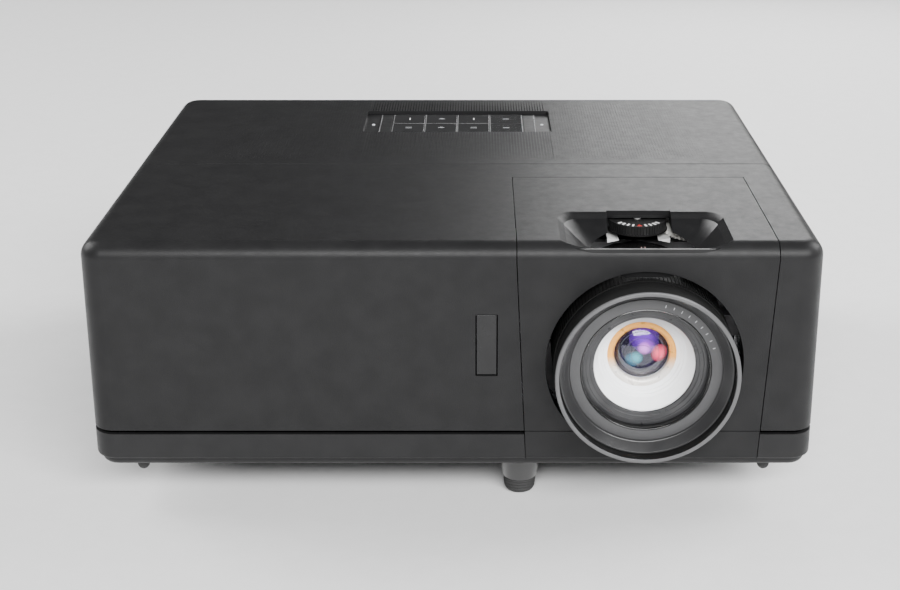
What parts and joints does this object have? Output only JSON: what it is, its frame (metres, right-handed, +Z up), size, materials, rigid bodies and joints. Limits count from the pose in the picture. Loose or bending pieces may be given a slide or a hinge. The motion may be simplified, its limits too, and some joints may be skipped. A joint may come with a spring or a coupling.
{
  "type": "laser projector",
  "caption": "Wide low home projector with an offset zoom lens, lens shift dial, top keypad, side grilles, rear connectors and screw feet.",
  "frame": {"origin": "on the table, under the middle of the whole object with its lens", "axes": "+X to the right as seen from the front, +Y from the lens side to the connector side, +Z up"},
  "size_m": [0.374, 0.3204, 0.147],
  "materials": {
    "case_black": "fine spark-eroded matte grain",
    "panel_black": "matte",
    "window_grey": "satin, passes infrared",
    "screw_black": "black zinc",
    "keypad_black": "satin",
    "key_black": "gloss with light legends",
    "light_pipe": "clear, lightly frosted",
    "board_green": "solder resist over copper",
    "ring_black": "knurled, with a satin grey front rim",
    "cell_grey": "satin grey paint, black inner wall",
    "front_glass": "clear, coated",
    "baffle_silver": "bright turned steps with an amber ring",
    "coated_glass": "dark, purple and blue coating",
    "barrel_black": "black anodised",
    "lens_glass": "clear",
    "carriage_grey": "die cast",
    "mount_steel": "pressed and plated",
    "rod_steel": "ground",
    "dial_black": "satin with white marks",
    "gear_natural": "natural acetal",
    "bracket_white": "white",
    "engine_magnesium": "die cast, dark",
    "laser_copper": "machined",
    "fin_aluminium": "bare fins",
    "phosphor_yellow": "yellow phosphor band on a bright disc",
    "filter_glass": "coloured segments",
    "motor_steel": "plated",
    "port_metal": "plated shells",
    "jack_black": "black",
    "inlet_black": "black with bright pins",
    "speaker_black": "black frame and paper cone",
    "fan_black": "black",
    "insert_brass": "turned",
    "foot_black": "gloss black knob on a steel screw",
    "foot_rubber": "ribbed"
  },
  "bodies": {
    "casing": {"front_case": "case_black", "rear_case": "case_black", "lens_cover": "case_black", "lower_case": "case_black", "rear_panel": "panel_black", "side_grilles": "panel_black", "ir_window": "window_grey", "case_screws": "screw_black", "keypad_panel": "keypad_black", "status_lights": "light_pipe", "keypad_board": "board_green", "lens_mount": "mount_steel", "guide_rods": "rod_steel", "dial_bracket": "bracket_white", "light_engine": "engine_magnesium", "relay_optics": "lens_glass", "chip_board": "board_green", "laser_module": "laser_copper", "heat_sink": "fin_aluminium", "wheel_motors": "motor_steel", "signal_ports": "port_metal", "audio_jacks": "jack_black", "power_inlet": "inlet_black", "main_board": "board_green", "power_board": "board_green", "speaker": "speaker_black", "stub_feet": "foot_rubber", "threaded_inserts": "insert_brass", "fan_frames": "fan_black"},
    "lens": {"lens_carriage": "carriage_grey", "lens_barrel": "barrel_black", "rear_lens": "lens_glass"},
    "focus_ring": {"focus_ring": "ring_black"},
    "front_group": {"front_lens_cell": "cell_grey", "front_lens": "front_glass", "lens_baffle": "baffle_silver", "inner_lens": "coated_glass"},
    "zoom_ring": {"zoom_ring": "ring_black"},
    "zoom_group": {"zoom_group": "lens_glass"},
    "shift_dial": {"shift_dial": "dial_black"},
    "idler_gear": {"idler_gear": "gear_natural"},
    "shift_screw": {"shift_screw": "rod_steel"},
    "phosphor_wheel": {"phosphor_wheel": "phosphor_yellow"},
    "colour_wheel": {"colour_wheel": "filter_glass"},
    "intake_fan": {"intake_fan_rotor": "fan_black"},
    "exhaust_fan": {"exhaust_fan_rotor": "fan_black"},
    "button_power": {"button_power": "key_black"},
    "button_up": {"button_up": "key_black"},
    "button_source": {"button_source": "key_black"},
    "button_aspect": {"button_aspect": "key_black"},
    "button_menu": {"button_menu": "key_black"},
    "button_down": {"button_down": "key_black"},
    "button_info": {"button_info": "key_black"},
    "button_enter": {"button_enter": "key_black"},
    "front_foot_pad": {"front_foot_pad": "foot_rubber"},
    "front_foot_screw": {"front_foot_screw": "foot_black"},
    "left_rear_foot_pad": {"left_rear_foot_pad": "foot_rubber"},
    "left_rear_foot_screw": {"left_rear_foot_screw": "foot_black"},
    "right_rear_foot_pad": {"right_rear_foot_pad": "foot_rubber"},
    "right_rear_foot_screw": {"right_rear_foot_screw": "foot_black"}
  },
  "joints": [
    {"name": "lens_shift", "type": "slide", "parent": "casing", "child": "lens", "axis": [0, 0, 1], "range_m": [-0.0025, 0.0025]},
    {"name": "shift_dial_turn", "type": "hinge", "parent": "casing", "child": "shift_dial", "pos_m": [0.09775, -0.08345, 0.134], "axis": [0, 0, 1], "range_deg": [-60.5, 60.5]},
    {"name": "idler_turn", "type": "hinge", "parent": "casing", "child": "idler_gear", "pos_m": [0.13055, -0.08345, 0.132], "axis": [0, 0, 1], "range_deg": [-48, 48]},
    {"name": "shift_screw_turn", "type": "hinge", "parent": "casing", "child": "shift_screw", "pos_m": [0.15375, -0.08345, 0.084], "axis": [0, 0, 1], "range_deg": [-181, 181]},
    {"name": "focus_slide", "type": "slide", "parent": "lens", "child": "front_group", "axis": [0, 1, 0], "range_m": [-0.0012, 0.0012]},
    {"name": "focus_turn", "type": "hinge", "parent": "lens", "child": "focus_ring", "pos_m": [0.09775, -0.14175, 0.0825], "axis": [0, 1, 0], "range_deg": [-45.5, 45.5]},
    {"name": "zoom_slide", "type": "slide", "parent": "lens", "child": "zoom_group", "axis": [0, 1, 0], "range_m": [-0.008, 0.008]},
    {"name": "zoom_turn", "type": "hinge", "parent": "lens", "child": "zoom_ring", "pos_m": [0.09775, -0.14175, 0.0825], "axis": [0, 1, 0], "range_deg": [-18.2, 18.2]},
    {"name": "phosphor_spin", "type": "hinge", "parent": "casing", "child": "phosphor_wheel", "pos_m": [0.03, 0.00425, 0.081], "axis": [1, 0, 0], "continuous": true},
    {"name": "colour_spin", "type": "hinge", "parent": "casing", "child": "colour_wheel", "pos_m": [0.038, 0.00425, 0.081], "axis": [1, 0, 0], "continuous": true},
    {"name": "intake_fan_spin", "type": "hinge", "parent": "casing", "child": "intake_fan", "pos_m": [-0.168, 0.07825, 0.0905], "axis": [1, 0, 0], "continuous": true},
    {"name": "exhaust_fan_spin", "type": "hinge", "parent": "casing", "child": "exhaust_fan", "pos_m": [0.168, 0.07825, 0.0905], "axis": [1, 0, 0], "continuous": true},
    {"name": "button_power_press", "type": "slide", "parent": "casing", "child": "button_power", "axis": [0, 0, -1], "range_m": [0, 0.0008], "stiffness_N_per_m": 500, "springref_m": -0.0008},
    {"name": "button_up_press", "type": "slide", "parent": "casing", "child": "button_up", "axis": [0, 0, -1], "range_m": [0, 0.0008], "stiffness_N_per_m": 500, "springref_m": -0.0008},
    {"name": "button_source_press", "type": "slide", "parent": "casing", "child": "button_source", "axis": [0, 0, -1], "range_m": [0, 0.0008], "stiffness_N_per_m": 500, "springref_m": -0.0008},
    {"name": "button_aspect_press", "type": "slide", "parent": "casing", "child": "button_aspect", "axis": [0, 0, -1], "range_m": [0, 0.0008], "stiffness_N_per_m": 500, "springref_m": -0.0008},
    {"name": "button_menu_press", "type": "slide", "parent": "casing", "child": "button_menu", "axis": [0, 0, -1], "range_m": [0, 0.0008], "stiffness_N_per_m": 500, "springref_m": -0.0008},
    {"name": "button_down_press", "type": "slide", "parent": "casing", "child": "button_down", "axis": [0, 0, -1], "range_m": [0, 0.0008], "stiffness_N_per_m": 500, "springref_m": -0.0008},
    {"name": "button_info_press", "type": "slide", "parent": "casing", "child": "button_info", "axis": [0, 0, -1], "range_m": [0, 0.0008], "stiffness_N_per_m": 500, "springref_m": -0.0008},
    {"name": "button_enter_press", "type": "slide", "parent": "casing", "child": "button_enter", "axis": [0, 0, -1], "range_m": [0, 0.0008], "stiffness_N_per_m": 500, "springref_m": -0.0008},
    {"name": "front_foot_height", "type": "slide", "parent": "casing", "child": "front_foot_pad", "axis": [0, 0, -1], "range_m": [-0.013, 0.006]},
    {"name": "front_foot_turn", "type": "hinge", "parent": "front_foot_pad", "child": "front_foot_screw", "pos_m": [0.0354, -0.11775, 0.004], "axis": [0, 0, 1], "range_deg": [-2700, 1260]},
    {"name": "left_rear_foot_height", "type": "slide", "parent": "casing", "child": "left_rear_foot_pad", "axis": [0, 0, -1], "range_m": [-0.013, 0.006]},
    {"name": "left_rear_foot_turn", "type": "hinge", "parent": "left_rear_foot_pad", "child": "left_rear_foot_screw", "pos_m": [-0.148, 0.13025, 0.004], "axis": [0, 0, 1], "range_deg": [-2700, 1260]},
    {"name": "right_rear_foot_height", "type": "slide", "parent": "casing", "child": "right_rear_foot_pad", "axis": [0, 0, -1], "range_m": [-0.013, 0.006]},
    {"name": "right_rear_foot_turn", "type": "hinge", "parent": "right_rear_foot_pad", "child": "right_rear_foot_screw", "pos_m": [0.148, 0.13025, 0.004], "axis": [0, 0, 1], "range_deg": [-2700, 1260]}
  ],
  "couplings": [
    {"joint": "shift_dial_turn", "follows": "lens_shift", "rad_per_m": 418.88},
    {"joint": "idler_turn", "follows": "lens_shift", "rad_per_m": -327.82},
    {"joint": "shift_screw_turn", "follows": "lens_shift", "rad_per_m": 1256.6},
    {"joint": "focus_turn", "follows": "focus_slide", "rad_per_m": 654.5},
    {"joint": "zoom_turn", "follows": "zoom_slide", "rad_per_m": 39.27},
    {"joint": "front_foot_turn", "follows": "front_foot_height", "rad_per_m": 3590.4},
    {"joint": "left_rear_foot_turn", "follows": "left_rear_foot_height", "rad_per_m": 3590.4},
    {"joint": "right_rear_foot_turn", "follows": "right_rear_foot_height", "rad_per_m": 3590.4}
  ]
}
